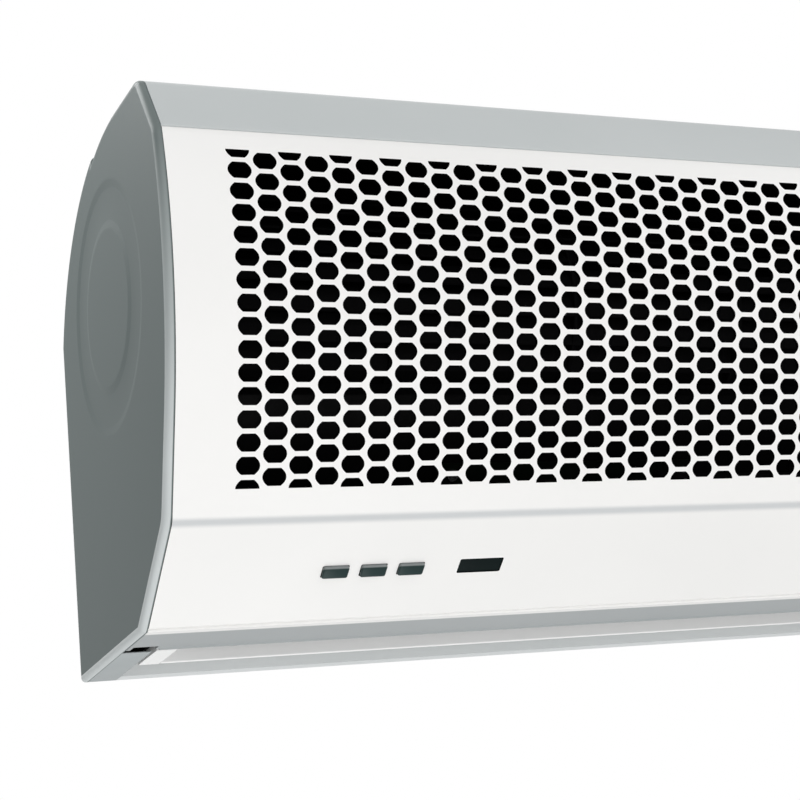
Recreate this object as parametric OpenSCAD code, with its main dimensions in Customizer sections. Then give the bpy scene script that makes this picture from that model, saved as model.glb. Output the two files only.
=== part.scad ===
// Wall-mounted cross-flow air curtain with a bowed, perforated front panel.
// +X runs to the right, the front faces -Y and +Z is up. The wall is the plane
// Y = 0, and the origin is the centre of the wall bracket's four bolt holes.
// Air goes in through the front panel, round two cross-flow impellers on one
// shaft, and down out of the slot in the bottom, past a tilting vane.

/* [Casing] */
// Length of the casing between its two end caps
body_len = 900; // [780:20:1100]
// Overall height
casing_h = 230; // [229:0.5:234]
// Overall depth from the wall
casing_d = 173; // [171:0.5:177]
// Radius of the bowed front panel
front_r = 228; // [220:1:236]
// Depth of the front panel's foremost line below the top
front_drop = 70; // [67:0.5:72]
// Lean of the lower front from vertical, in degrees
front_lean = 18.5; // [17.5:0.25:19.5]
// Height of the crease above the control strip
crease_z = 48; // [46:0.5:50]
// Slope of the control strip from horizontal, in degrees
strip_slope = 40; // [39:0.25:41]
// Height of the lower front lip
lip_z = 11; // [10:0.25:12]
// Depth of the seam between the front panel and the top cover below the top
seam_drop = 28; // [26:0.5:30]
// Lean of the cover's front strip from vertical, in degrees
cover_lean = 35; // [33:0.5:37]
// Radius of the corner between the cover's strip and its top
corner_r = 8; // [6:0.5:10]
// Radius of the rounded back of the top
back_r = 111; // [109:0.5:113]
// How far that radius would reach into the wall
back_over = 6.5; // [5:0.5:8]
// Radius of the crown of the top cover
crown_r = 121; // [118:1:124]
// Distance of the crown's centre in front of the wall
crown_in = 113.5; // [112:0.5:115]
// Distance of the cover's rear edge in front of the wall
step_in = 72; // [70:0.5:75]

/* [Sheets] */
// Thickness of the moulded front panel
panel_t = 2; // [1.6:0.1:2.4]
// Thickness of the painted steel sheets
sheet_t = 1.2; // [1:0.1:1.4]
// Thickness of the steel end frames and motor frames
frame_t = 1.5; // [1.2:0.1:2]
// Thickness of the end caps' faces
cap_t = 3.5; // [3:0.1:4]
// Bevel round the end caps' faces
cap_bevel = 2.5; // [2:0.1:2.8]
// Wall of the end caps' inner rim
rim_t = 2; // [1.6:0.1:2.4]
// Width of the end caps' foot beside the outlet
cap_foot = 13; // [12:0.5:15]
// Outer radius of the round groove in an end cap
ring_r = 54.6; // [50:0.2:58]
// Inner radius of that groove
inner_ring_r = 34.2; // [30:0.2:38]
// Depth of that groove
ring_deep = 0.8; // [0.5:0.1:1.2]
// Gap between the rear shell and the wall, filled by the bracket
wall_gap = 4; // [4:0.25:5]
// Width of the outlet's rear lip
rear_lip = 9; // [8.5:0.25:10]
// Distance of the outlet's front edge in front of the wall
slot_front = 68; // [66:0.5:70]

/* [Perforation] */
// Distance between columns of holes
column_pitch = 11.05; // [10.8:0.05:12]
// Rows of holes in a full column
rows = 15; // [11:2:15]
// Least distance from the panel's end to the first column's centre
field_margin = 29.8; // [26:0.2:34]
// Bare panel between the seam and the field of holes
bare_top = 8.7; // [7.5:0.1:10]
// Bare panel between the field of holes and the crease
bare_foot = 12.6; // [11:0.1:14]
// Height of a hole as a share of the distance between rows
hole_share = 0.76; // [0.7:0.01:0.8]
// Width of one hole
hole_w = 10.3; // [9.6:0.1:10.6]

/* [Fan] */
// Distance of the fan shaft in front of the wall
fan_in = 85; // [84:0.5:86]
// Depth of the fan shaft below the top
fan_drop = 78; // [76:0.5:80]
// Outer radius of an impeller
impeller_r = 50; // [48:0.5:50]
// Inner radius of the blade ring
blade_in_r = 40; // [38:0.5:42]
// Blades round one impeller
blades = 24; // [20:1:28]
// Thickness of a blade
blade_t = 0.9; // [0.7:0.1:1.1]
// Half the width of the motor bay between the impellers
motor_bay = 75; // [72:1:80]
// Radius of the fan shaft
shaft_r = 4; // [3.5:0.1:4.5]
// Radial running clearance of shafts and pins
run_gap = 0.04; // [0.03:0.01:0.06]
// Outer radius of the motor's can
motor_r = 42; // [40:0.5:44]
// Half the length of the motor's can
motor_half = 36; // [34:0.5:38]
// Air gap between the motor's rotor and stator
air_gap = 0.5; // [0.4:0.05:0.7]
// Gap between the impeller and the start of the scroll
scroll_gap = 4; // [3.5:0.1:4.5]

/* [Outlet vane] */
// Distance of the vane's pivot in front of the wall
vane_in = 36; // [35:0.5:38]
// Height of the vane's pivot
vane_z = 24.4; // [24:0.2:26]
// Height of the vane's blade
vane_h = 40; // [36:0.5:40]
// Thickness of the vane's blade
vane_t = 1.6; // [1.4:0.1:2]
// Radius of the vane's pins
pin_r = 2; // [1.5:0.1:2.2]
// Distance from the end of the casing to the vane
vane_end = 24; // [23:0.5:26]

/* [Controls] */
// Distance from the casing's end to the first button's middle
button_first = 74.2; // [72:0.2:76]
// Distance between the buttons
button_pitch = 17; // [16:0.5:18]
// Width of a button's opening
button_w = 11.7; // [11:0.1:12.5]
// Height of a button's opening
button_h = 5.2; // [5:0.1:5.6]
// Travel of a button
button_travel = 1; // [0.8:0.1:1.2]
// Distance of the buttons' middle below the crease, along the strip
button_down = 29; // [28:0.5:30]
// Distance from the casing's end to the infrared window's middle
window_x = 140.7; // [139:0.2:144]
// Width of the infrared window's opening
window_w = 20.5; // [19:0.5:22]
// Height of the infrared window's opening
window_h = 7.2; // [6.6:0.2:7.6]

/* [Wall bracket] */
// Length of the wall bracket
bracket_len = 760; // [700:10:780]
// Height of the wall bracket
bracket_h = 80; // [76:1:84]
// Height of the bracket's middle above the casing's bottom
bracket_z = 84; // [82:1:86]
// Thickness of the bracket
bracket_t = 2; // [1.6:0.1:2.4]
// Distance between the wall holes along the wall
wall_hole_x = 640; // [600:10:660]
// Distance between the wall holes up the wall
wall_hole_z = 50; // [46:1:54]
// Radius of a wall hole
wall_hole_r = 3.5; // [3:0.25:4]
// Width of a hook
hook_w = 30; // [24:1:36]
// Height of a hook above its seat
hook_h = 11; // [10:0.5:12]

/* [Hidden] */
SIDES = ["left", "right"];
BUTTONS = ["high", "low", "off"];

$fn = 64;
// Clearance between pieces that are put together by hand
fit = 0.3;
// Clearance between pieces that are screwed face to face
seat = 0.1;
// Radii of the screws' threads, and the clearance of the holes they pass through
big_screw = 1.7;
small_screw = 1.3;
board_screw = 0.9;
clear = 0.4;
half = body_len / 2;
white = [0.95, 0.95, 0.94];
grey = [0.72, 0.75, 0.75];
dark_grey = [0.42, 0.46, 0.46];
black = [0.06, 0.06, 0.06];
steel = [0.62, 0.64, 0.66];
zinc = [0.75, 0.77, 0.79];
copper = [0.72, 0.45, 0.2];
board_green = [0.1, 0.35, 0.2];
tinted = [0.1, 0.12, 0.13];

// ---- plane geometry: points are [y, z] ----

function polar(c, r, a) = c + r * [cos(a), sin(a)];
function arc(c, r, from, to, step = 3) = let (n = max(1, ceil(abs(to - from) / step)))
    [for (i = [0:n]) polar(c, r, from + (to - from) * i / n)];
function reversed(v) = [for (i = [len(v) - 1:-1:0]) v[i]];
function left_normal(a, b) = let (u = (b - a) / norm(b - a)) [-u[1], u[0]];
function moved_corner(a, b, c, d) = let (n1 = left_normal(a, b), n2 = left_normal(b, c))
    b + d * (n1 + n2) / (1 + n1 * n2);
// A closed outline moved in by d, and an open path moved to its left by d
function inset(p, d) = let (n = len(p))
    [for (i = [0:n - 1]) moved_corner(p[(i + n - 1) % n], p[i], p[(i + 1) % n], d)];
function beside(p, d) = let (n = len(p)) [for (i = [0:n - 1])
    i == 0 ? p[0] + d * left_normal(p[0], p[1])
    : i == n - 1 ? p[i] + d * left_normal(p[i - 1], p[i])
    : moved_corner(p[i - 1], p[i], p[i + 1], d)];

// ---- the casing's outline, worked out from the driving sizes ----

front_mid = casing_h - front_drop;
seam_z = casing_h - seam_drop;
back_in = back_r - back_over;
fan_z = casing_h - fan_drop;
front_c = [front_r - casing_d, front_mid];
bow_end = polar(front_c, front_r, 180 + front_lean);
crease = [bow_end[0] + (bow_end[1] - crease_z) * tan(front_lean), crease_z];
lip = [crease[0] + (crease_z - lip_z) / tan(strip_slope), lip_z];
foot = [0, 0];
bottom_slope = atan2(lip_z, -lip[0]);
seam_a = asin((seam_z - front_mid) / front_r);
seam = polar(front_c, front_r, 180 - seam_a);
corner_up = (casing_h - corner_r - seam_z + corner_r * sin(cover_lean)) / cos(cover_lean);
corner_c = seam + corner_r * [cos(cover_lean), -sin(cover_lean)]
    + corner_up * [sin(cover_lean), cos(cover_lean)];
crown_c = [-crown_in, casing_h - crown_r];
crown_a = acos((crown_in - step_in) / crown_r);
back_c = [-back_in, casing_h - back_r];
back_a = acos((back_in - step_in) / back_r);
function back_angle(y) = acos((y + back_in) / back_r);

// A point on the front face, s along it from the end of the bow, up the panel
function front_lean_at(s) = s > 0 ? front_lean - s / front_r * 180 / PI : front_lean;
function front_at(s) = s > 0 ? polar(front_c, front_r, 180 + front_lean_at(s))
    : bow_end - s * [sin(front_lean), -cos(front_lean)];
seam_s = (front_lean + seam_a) * PI / 180 * front_r;
field_top = seam_s - bare_top;
field_foot = bare_foot - norm(crease - bow_end);
row_pitch = (field_top - field_foot) / rows;
hole_h = hole_share * row_pitch;
// The front's outline, from the seam down to the crease, with a fold close above each hole's middle
fold_up = 0.2;
front_path = concat([seam], [for (i = [2 * rows:-1:0]) front_at(field_foot + fold_up + i * row_pitch / 2)],
    [crease]);
crown_path = reversed(arc(crown_c, crown_r, crown_a, 90));
corner_path = arc(corner_c, corner_r, 90, 180 - cover_lean, 11);
back_path = arc(back_c, back_r, back_angle(0), back_a);
outline = concat([foot], back_path, reversed(crown_path), corner_path, front_path, [lip]);
// The same outline with one point less before the step in the top, to be moved in further
plain_outline = [for (i = [0:len(outline) - 1]) if (i != len(back_path) - 1) outline[i]];
// The bottom line's height at a distance in front of the wall
function bottom_at(y) = -y * lip_z / -lip[0];
// Height of the rounded back at y, a depth d inside it
function back_at(y, d) = back_c[1] + sqrt((back_r - d) ^ 2 - (y - back_c[0]) ^ 2);

// ---- placing ----

// All heights above are from the casing's bottom; this puts the origin at the mount
module placed() translate([0, 0, -bracket_z]) children();
module along_x(x0, x1) translate([x0, 0, 0]) rotate([90, 0, 90]) linear_extrude(x1 - x0) children();
// A folded sheet with thickness t on the left of its path
module folded(path, t, x0, x1) along_x(x0, x1) polygon(concat(path, reversed(beside(path, t))));
module both_sides() for (s = [0, 1]) mirror([s, 0, 0]) children();
// Turns right-hand geometry to the side asked for
module on_side(side) mirror([side == "left" ? 1 : 0, 0, 0]) children();
module axle(x0, x1, r, y = -fan_in, z = fan_z)
    translate([x0, y, z]) rotate([0, 90, 0]) cylinder(h = x1 - x0, r = r);
module tube(x0, x1, r, bore, y = -fan_in, z = fan_z) difference() {
    axle(x0, x1, r, y, z);
    axle(x0 - 1, x1 + 1, bore, y, z);
}
// Local z points out of the control strip, local y up it, from a point s below the crease
module on_strip(x, s) translate([x, crease[0] + s * cos(strip_slope), crease[1] - s * sin(strip_slope)])
    rotate([180 - strip_slope, 0, 0]) children();
// Local z points out of the front panel, local y up it, from a point s above the bow's end
module on_front(x, s) translate([x, front_at(s)[0], front_at(s)[1]])
    rotate([90 + front_lean_at(s), 0, 0]) children();
module block(w, d, h) translate([-w / 2, -d / 2, 0]) cube([w, d, h]);

// ---- casing ----

// Gap between the sheets' ends and the end caps
panel_gap = 0.2;
// Width of the sheets' turned-in edges
flange = 12;
hem = 16;
fold_in = sheet_t / sin(strip_slope - bottom_slope);
panel_lip = lip + fold_in * [-cos(strip_slope), sin(strip_slope)];
panel_hem = panel_lip + hem * [cos(bottom_slope), -sin(bottom_slope)];
columns_half = floor((half - field_margin) / column_pitch);
// Bosses that hold the button board behind the strip
boss_x = [button_first - 10, window_x + window_w / 2 + 8];
boss_down = 6.5;
boss_r = 2.4;
board_depth = panel_t + 6.5;
pilot = 5;
// Screws through the hem, from below
hem_screw_x = 75;
hem_screw_y = panel_hem[0] - 6;
module hem_screw_holes(r) for (s = [-1, 1]) translate([s * hem_screw_x, hem_screw_y, 0])
    rotate([-bottom_slope, 0, 0]) cylinder(h = 30, r = r);

// Two round holes side by side
module hole_pair() for (e = [-1, 1]) translate([e * (hole_w - hole_h) / 2, 0, -panel_t - 1])
    cylinder(h = panel_t + 2, r = hole_h / 2, $fn = 24);

// One perforation
module perforation(x, s) on_front(x, s) hole_pair();

// A half hole on the edge of the field, on the side that the sign gives
module half_perforation(x, s, side) on_front(x, s) intersection() {
    hole_pair();
    translate([0, side * hole_h / 2, 0]) cube([hole_w + 1, hole_h, 3 * panel_t + 3], center = true);
}

module perforations() for (i = [-columns_half:columns_half]) {
    short = (columns_half - abs(i)) % 2 == 0;
    for (k = [0:(short ? rows - 2 : rows - 1)])
        perforation(i * column_pitch, field_foot + (k + (short ? 1 : 0.5)) * row_pitch);
    if (short) {
        half_perforation(i * column_pitch, field_foot, 1);
        half_perforation(i * column_pitch, field_top, -1);
    }
}

module front_panel() color(white) placed() {
    inward = seam + [flange, 0];
    difference() {
        union() {
            folded(concat([inward], front_path, [panel_lip, panel_hem]), panel_t,
                -half + panel_gap, half - panel_gap);
            // screw bosses for the button board
            for (x = boss_x, s = [-1, 1]) on_strip(-half + x, button_down + s * boss_down)
                translate([0, 0, -board_depth]) cylinder(h = board_depth - panel_t / 2, r = boss_r);
        }
        perforations();
        for (i = [0:2]) on_strip(-half + button_first + i * button_pitch, button_down)
            cube([button_w, button_h, 4 * panel_t], center = true);
        on_strip(-half + window_x, button_down) cube([window_w, window_h, 4 * panel_t], center = true);
        for (x = boss_x, s = [-1, 1]) on_strip(-half + x, button_down + s * boss_down)
            translate([0, 0, -board_depth - 1]) cylinder(h = pilot + 1, r = board_screw);
        hem_screw_holes(small_screw);
    }
}

// Inner faces of the end frames, and the screws along them
frame_x = half - cap_foot;
inside_x = frame_x - frame_t;
end_screw_x = inside_x - 6;
cover_screw_y = [-134, -118];
// Rear tab of the end frame, and the two screws in it
tab_z = [28, casing_h - 98];
shell_screw_z = [tab_z[0] + 12, tab_z[1] - 12];
countersunk = 3.4;
// The cover's rear edge runs on under the rear shell
cover_tail = [for (k = [1, 0.5, 0]) let (y = -step_in + k * flange) [y, back_at(y, sheet_t + seat)]];

module top_cover() color(grey) placed() difference() {
    folded(reversed(concat(cover_tail, reversed(crown_path), corner_path,
        [seam + [0, seat], seam + [flange, seat]])), -sheet_t, -half + panel_gap, half - panel_gap);
    both_sides() for (y = cover_screw_y) translate([end_screw_x, y, 0]) {
        cylinder(h = casing_h + 1, r = big_screw + clear);
        translate([0, 0, casing_h - sheet_t])
            cylinder(h = sheet_t, r1 = big_screw + clear, r2 = countersunk + 0.1);
    }
}

shell_foot = bottom_at(-wall_gap) + rim_t + fit;
// Hooks on the bracket, and the slots in the rear shell that drop over them
hook_under = 12;
hook_in = 80;
hook_seat = bracket_z + bracket_h / 2 - hook_under;
hook_x = [0, bracket_len / 2 - hook_in];
slot_play = 1;
slot_drop = 3;
grommet_x = -half + cap_foot / 2;
grommet_z = casing_h - 90;
grommet_r = 5;
module rear_shell() color(grey) placed() difference() {
    folded(concat([[-wall_gap, shell_foot]],
        arc(back_c, back_r, back_angle(-wall_gap), back_a)), sheet_t, -half + panel_gap, half - panel_gap);
    both_sides() for (x = hook_x)
        translate([x - hook_w / 2 - slot_play, -2 * wall_gap, hook_seat - hook_h - slot_drop])
            cube([hook_w + 2 * slot_play, 2 * wall_gap, hook_h + slot_drop + seat]);
    translate([grommet_x, 0, grommet_z]) rotate([90, 0, 0]) cylinder(h = 2 * wall_gap, r = grommet_r);
    both_sides() for (z = shell_screw_z) translate([end_screw_x, 0, z])
        rotate([90, 0, 0]) cylinder(h = 2 * wall_gap, r = big_screw + clear);
}

// Lightening holes along the bracket's middle
light_in = 180;
light_pitch = 100;
light_r = 12;
module wall_bracket() color(zinc) placed() difference() {
    union() {
        translate([-bracket_len / 2, -bracket_t, bracket_z - bracket_h / 2])
            cube([bracket_len, bracket_t, bracket_h]);
        both_sides() for (x = hook_x) translate([x - hook_w / 2, 0, hook_seat - bracket_t]) {
            translate([0, -wall_gap - sheet_t - fit - bracket_t, 0])
                cube([hook_w, wall_gap + sheet_t + fit + bracket_t - seat, bracket_t]);
            translate([0, -wall_gap - sheet_t - fit - bracket_t, 0]) cube([hook_w, bracket_t, hook_h]);
        }
    }
    for (sx = [-1, 1], sz = [-1, 1])
        translate([sx * wall_hole_x / 2, 1, bracket_z + sz * wall_hole_z / 2])
            rotate([90, 0, 0]) cylinder(h = bracket_t + 2, r = wall_hole_r);
    for (x = [light_in - bracket_len / 2:light_pitch:bracket_len / 2 - light_in])
        translate([x, 1, bracket_z]) rotate([90, 0, 0]) cylinder(h = bracket_t + 2, r = light_r);
}

// ---- air passage ----

fan_c = [-fan_in, fan_z];
scroll_top = 75;
scroll_foot = -20;
scroll_growth = 0.22;
function scroll_r(a) = impeller_r + scroll_gap + (scroll_top - a) * scroll_growth;
scroll_path = [for (a = [scroll_foot:5:scroll_top]) polar(fan_c, scroll_r(a), a)];
scroll_end = polar(fan_c, scroll_r(scroll_top), scroll_top);
tongue_a = 235;
tongue = polar(fan_c, impeller_r + scroll_gap, tongue_a);
slot_edge = [-slot_front, bottom_at(-slot_front)];
tongue_path = [slot_edge, tongue, tongue + [-6, 2], tongue + [-11, -3]];
// Cut-away at each end of the front lip, above the end cap's foot
notch = 6;

module outlet_front_wall() color(grey) placed() difference() {
    union() {
        folded([lip, slot_edge], sheet_t, -half + panel_gap, half - panel_gap);
        folded(tongue_path, sheet_t, -inside_x, inside_x);
    }
    hem_screw_holes(small_screw + clear);
    both_sides() translate([frame_x, -slot_front - notch, 0]) cube([cap_foot - 2, 2 * notch, 4 * notch]);
}

module scroll_wall() color(grey) placed() {
    cover_foot = [-step_in + 5, back_at(-step_in + 5, 2 * sheet_t + 3 * seat)];
    path = concat([[-rear_lip, bottom_at(-rear_lip)]], scroll_path, [cover_foot]);
    folded([[-fit, bottom_at(-fit)], [-rear_lip, bottom_at(-rear_lip)]], -sheet_t, -frame_x, frame_x);
    folded(path, -sheet_t, -inside_x, inside_x);
}

// ---- end frames ----

frame_gap = sheet_t + panel_t + fit;
back_face = wall_gap + sheet_t + seat;
cap_boss = [[21 - casing_d, seam_z - 16], [-24 - step_in, casing_h - 13],
    [35 - casing_d, crease_z + 28], [-32 - slot_front, crease_z - 8]];
cap_boss_r = 3.5;
cushion_r = 13;
// Tabs turned in from the end frame: width, and the length of the top one
tab = 12;
tab_y = [cover_screw_y[0] - 6, cover_screw_y[1] + 6];
tab_root = 8;
// Way for the mains lead, from the end space to the front of the casing
lead_way = [55 - casing_d, crease_z + 14];

// Room for the turned-in edges of the cover and the front panel at the seam
module seam_slot() translate([-casing_d, seam_z - panel_t - fit])
    square([casing_d + seam[0] + flange + fit, panel_t + sheet_t + seat + 2 * fit]);
module frame_outline() difference() {
    intersection() {
        polygon(inset(plain_outline, frame_gap));
        translate([-casing_d, 0]) square([casing_d - back_face, casing_h]);
    }
    seam_slot();
}

module end_frame(side) color(zinc) placed() on_side(side) difference() {
    union() {
        along_x(inside_x, frame_x) frame_outline();
        translate([inside_x - tab, -back_face - frame_t, tab_z[0]])
            cube([tab + frame_t, frame_t, tab_z[1] - tab_z[0]]);
        translate([0, tab_y[0], casing_h - sheet_t - seat]) mirror([0, 0, 1]) {
            translate([inside_x - tab, 0, 0]) cube([tab + frame_t, tab_y[1] - tab_y[0], frame_t]);
            translate([inside_x, 0, 0]) cube([frame_t, tab_y[1] - tab_y[0], tab_root]);
        }
    }
    axle(inside_x - 1, frame_x + 1, cushion_r);
    for (p = cap_boss) axle(inside_x - 1, frame_x + 1, small_screw + clear, p[0], p[1]);
    for (z = shell_screw_z) translate([end_screw_x, 0, z])
        rotate([90, 0, 0]) cylinder(h = 4 * wall_gap, r = big_screw);
    for (y = cover_screw_y) translate([end_screw_x, y, casing_h - tab_root])
        cylinder(h = tab_root, r = big_screw);
    axle(inside_x - 1, frame_x + 1, 6, lead_way[0], lead_way[1]);
}

// ---- end caps ----

// The face's edge is rounded in steps
edge_steps = 3;
function edge_rise(k) = cap_t - cap_bevel + cap_bevel * sin(90 * k / edge_steps);
module cap_face() {
    along_x(half, half + edge_rise(0)) polygon(outline);
    for (k = [1:edge_steps]) along_x(half + edge_rise(k - 1), half + edge_rise(k))
        polygon(inset(outline, cap_bevel * (1 - cos(90 * (k - 0.5) / edge_steps))));
}

// Round groove in the face, opposite the fan, with sloping sides
ring_slope = 3;
module ring_groove() translate([half + cap_t - ring_deep, -fan_in, fan_z]) rotate([0, 90, 0]) difference() {
    cylinder(h = ring_deep, r1 = ring_r - ring_slope, r2 = ring_r);
    cylinder(h = ring_deep, r1 = inner_ring_r + ring_slope, r2 = inner_ring_r);
}

// Rim inside the cover and the front panel, from the crown down to the crease
rim_deep = 9;
// How far the rim, the foot and the bosses run into the face
root = 0.5;
rim_outer = inset(plain_outline, frame_gap);
rim_inner = inset(plain_outline, frame_gap + rim_t);
rim_points = [for (i = [0:len(plain_outline) - 1])
    if (plain_outline[i][0] < -step_in - 1 && plain_outline[i][1] > crease_z + 1) i];
module cap_rim() along_x(half - rim_deep, half + root) difference() {
    polygon(concat([for (i = rim_points) rim_outer[i]], [for (i = reversed(rim_points)) rim_inner[i]]));
    seam_slot();
}

// Foot beside the outlet: a bottom plate with a low wall at the back and a thin front edge
foot_front = notch - slot_front;
foot_h = 12;
foot_edge = 0.5;
foot_slope = foot_front + 3 * rim_t;
module foot_plate() along_x(frame_x, half + root) polygon([[0, 0], [0, foot_h], [-rim_t, foot_h],
    [-rim_t, bottom_at(-rim_t) + rim_t], [foot_slope, bottom_at(foot_slope) + rim_t],
    [foot_front, bottom_at(foot_front) + foot_edge], [foot_front, bottom_at(foot_front)]]);

module end_cap(side) color(dark_grey) placed() on_side(side) difference() {
    union() {
        cap_face();
        cap_rim();
        foot_plate();
        for (p = cap_boss) axle(frame_x + seat, half + root, cap_boss_r, p[0], p[1]);
    }
    for (p = cap_boss) axle(frame_x - 1, half - 1, small_screw, p[0], p[1]);
    ring_groove();
}

// ---- motor ----

motor_frame_x = 57;
motor_cushion_r = 20;
boss_end = 63;
neck_r = 14;
shaft_end = motor_bay + 9;

module motor_frame(side) color(zinc) placed() on_side(side) difference() {
    front_arc = arc(fan_c, impeller_r + scroll_gap, scroll_top, tongue_a - 6, 8);
    along_x(motor_frame_x, motor_frame_x + frame_t)
        polygon(concat([for (a = [scroll_foot:5:scroll_top]) polar(fan_c, scroll_r(a) - seat, a)],
            front_arc, [tongue + [1, 1], tongue + [12, -24], [-rear_lip - 20, fan_z - impeller_r - 2]]));
    axle(motor_frame_x - 1, motor_frame_x + 5, motor_cushion_r);
}

bush_r = 9;
bush_len = 12;
can_t = 2;
rotor_half = 22;
stator_bore = 25;
module motor_housing() color(steel) placed() difference() {
    union() {
        axle(-motor_half, motor_half, motor_r);
        axle(-boss_end, boss_end, neck_r);
        both_sides() axle(motor_half - 1, motor_half + 8, stator_bore + 1);
    }
    axle(-motor_half + can_t, motor_half - can_t, motor_r - can_t);
    axle(-boss_end - 1, boss_end + 1, shaft_r + can_t);
    both_sides() axle(boss_end - bush_len, boss_end + 1, bush_r);
}

// Laminated core with a winding at each end
module motor_stator() color(copper) placed() difference() {
    union() {
        axle(-rotor_half, rotor_half, motor_r - can_t);
        axle(-motor_half + 2 * can_t, motor_half - 2 * can_t, motor_r - 3 * can_t);
    }
    axle(-motor_half, motor_half, stator_bore);
}

module motor_rotor() color(steel) placed() tube(-rotor_half, rotor_half, stator_bore - air_gap, shaft_r);
module motor_shaft() color(zinc) placed() axle(-shaft_end, shaft_end, shaft_r);
module motor_bushes() color(copper) placed() both_sides()
    tube(boss_end - bush_len, boss_end, bush_r, shaft_r + run_gap);

// A rubber ring in a plate of thickness t from x, with a lip on each face
module cushion(x, t, hole, bore) difference() {
    union() {
        axle(x - 3, x + t + 3, hole);
        axle(x - 3, x - seat, hole + 2.5);
        axle(x + t + seat, x + t + 3, hole + 2.5);
    }
    axle(x - 4, x + t + 4, bore);
}
module motor_cushions() color(black) placed() both_sides()
    cushion(motor_frame_x, frame_t, motor_cushion_r, neck_r);

// ---- impellers ----

impeller_end = inside_x - 6;
disc_t = 1.5;
hub_r = 11;
hub_len = 20;
// How far the hub stands out of the impeller towards the motor
hub_out = 8;
// Stub at the outer end, in the end frame's bearing
stub_end = frame_x + 3;
discs = 3;
blade_sweep = 16;
set_screw_r = 2;
function blade_path(a) = [for (k = [0:1 / 3:1])
    polar(fan_c, blade_in_r + (impeller_r - 0.5 - blade_in_r) * k, a + blade_sweep * k ^ 1.6)];

module impeller(side) color(black) placed() on_side(side) difference() {
    span = impeller_end - motor_bay;
    union() {
        along_x(motor_bay, impeller_end) for (i = [0:blades - 1])
            let (p = blade_path(i * 360 / blades)) polygon(concat(p, reversed(beside(p, -blade_t))));
        for (k = [1:discs]) let (x = motor_bay + k * (span - disc_t) / (discs + 1))
            tube(x, x + disc_t, impeller_r, blade_in_r - 2);
        axle(motor_bay, motor_bay + disc_t, impeller_r);
        axle(impeller_end - disc_t, impeller_end, impeller_r);
        axle(motor_bay - hub_out, motor_bay + hub_len - hub_out, hub_r);
        axle(impeller_end - hub_out, impeller_end, 2 * shaft_r);
        axle(impeller_end - 1, stub_end, shaft_r);
    }
    axle(motor_bay - hub_out - 1, motor_bay + hub_len - hub_out + 1, shaft_r);
    translate([motor_bay - hub_out / 2, -fan_in, fan_z]) cylinder(h = 2 * hub_r, r = set_screw_r);
}

module hub_screws() color(black) placed() both_sides()
    translate([motor_bay - hub_out / 2, -fan_in, fan_z + shaft_r])
        cylinder(h = hub_r - shaft_r - 0.5, r = set_screw_r);

bearing_r = 7;
module bearing(side) color(copper) placed() on_side(side)
    tube(inside_x - 4, stub_end + 1, bearing_r, shaft_r + run_gap);
module bearing_cushion(side) color(black) placed() on_side(side)
    cushion(inside_x, frame_t, cushion_r, bearing_r);

// ---- outlet vane ----

vane_x = half - vane_end;
vane_hub_r = 4;
vane_foot = vane_z - vane_h / 2;
pin_deep = 12;
// The vane bracket: its plate's thickness, half width and height, and its post's half width
plate_t = 2;
plate_half = 9;
plate_h = 34;
post_half = 2;
// Block that closes the outlet beyond the vane's end, in front of the pin
block_back = post_half - vane_in;
block_front = 3 - slot_front;
block_top = [vane_z + 5, vane_z - 8];

module deflector_vane() color(white) placed() difference() {
    union() {
        translate([-vane_x, -vane_in - vane_t / 2, vane_foot]) cube([2 * vane_x, vane_t, vane_h]);
        axle(-vane_x, vane_x, vane_hub_r, -vane_in, vane_z);
        for (z = [vane_foot, vane_foot + vane_h]) axle(-vane_x, vane_x, vane_t / 2, -vane_in, z);
    }
    both_sides() axle(vane_x - pin_deep, vane_x + 1, pin_r, -vane_in, vane_z);
}

module vane_pins() color(steel) placed() both_sides()
    axle(vane_x - pin_deep, inside_x - plate_t - 0.5, pin_r, -vane_in, vane_z);

module vane_bracket(side) color(white) placed() on_side(side) difference() {
    union() {
        translate([inside_x - plate_t, -vane_in - plate_half, vane_z - plate_h / 2])
            cube([plate_t, 2 * plate_half, plate_h]);
        translate([vane_x + fit, -vane_in - post_half, vane_foot])
            cube([inside_x - vane_x - fit, 2 * post_half, plate_h]);
        along_x(vane_x + fit, inside_x) polygon([[block_back, bottom_at(block_back)], [block_back, block_top[0]],
            [-vane_in - plate_half, block_top[0]], [block_front, block_top[1]],
            [block_front, bottom_at(block_front)]]);
        axle(vane_x + fit, inside_x, vane_hub_r + 2, -vane_in, vane_z);
    }
    axle(vane_x - 1, inside_x - plate_t, pin_r + run_gap, -vane_in, vane_z);
}

// ---- controls ----

// Gap round a button, and how far it stands out of the strip
cap_fit = 0.4;
cap_rise = 0.9;
// Collar behind the strip: how far it stands out round the opening, and its thickness
collar = 1;
stem_r = 1.5;
switch_h = 3.5;
switch_top = board_depth - switch_h;
pcb_t = 1.6;

module control_button(i) color(dark_grey) placed()
    on_strip(-half + button_first + i * button_pitch, button_down) {
        translate([0, 0, -panel_t - collar])
            block(button_w - 2 * cap_fit, button_h - 2 * cap_fit, panel_t + collar + cap_rise);
        translate([0, 0, -panel_t - collar])
            block(button_w + 2 * collar, button_h + 2 * collar, collar - seat);
        translate([0, 0, -switch_top - 1]) cylinder(h = switch_top - panel_t, r = stem_r);
    }

module high_button() control_button(0);
module low_button() control_button(1);
module off_button() control_button(2);

module button_board() color(board_green) placed() difference() {
    on_strip(-half + (boss_x[0] + boss_x[1]) / 2, button_down) translate([0, 0, -board_depth - pcb_t])
        block(boss_x[1] - boss_x[0] + 4 * boss_r, 2 * boss_down + 4 * boss_r - 1, pcb_t);
    for (x = boss_x, s = [-1, 1]) on_strip(-half + x, button_down + s * boss_down)
        translate([0, 0, -board_depth - 2 * pcb_t]) cylinder(h = 4 * pcb_t, r = board_screw + clear);
}

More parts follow.
